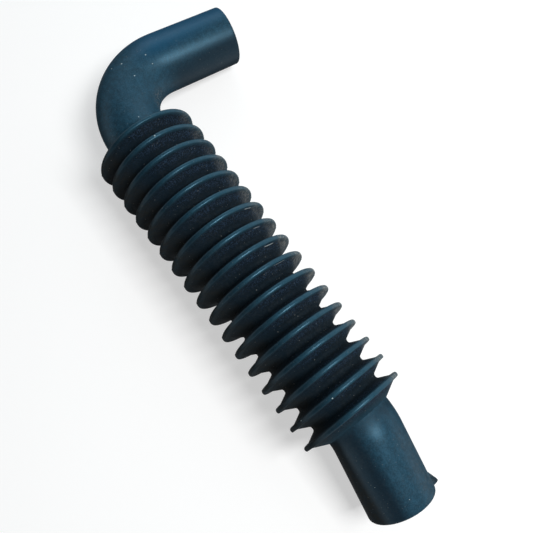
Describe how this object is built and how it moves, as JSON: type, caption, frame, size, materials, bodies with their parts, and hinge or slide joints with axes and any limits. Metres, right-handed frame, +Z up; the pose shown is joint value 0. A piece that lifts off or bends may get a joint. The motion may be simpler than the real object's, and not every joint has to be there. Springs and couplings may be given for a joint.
{
  "type": "washing machine vent hose",
  "caption": "Moulded rubber vent hose: round bellows, a bent plain cuff with a locating tab at one end and a right-angle elbow with a short tapered arm at the other.",
  "frame": {"origin": "on the floor under the middle of the hose's bounding box, with the hose lying as it comes to rest", "axes": "+X along the bellows from the elbow to the cuff, +Y towards the side that the elbow's arm points to, +Z up"},
  "size_m": [0.2192, 0.0838, 0.044],
  "materials": {
    "rubber": "matt black moulded rubber with a slight blue cast, dusty, with a soft sheen on the smooth ends"
  },
  "bodies": {
    "root": {"vent_hose": "rubber"}
  },
  "joints": []
}
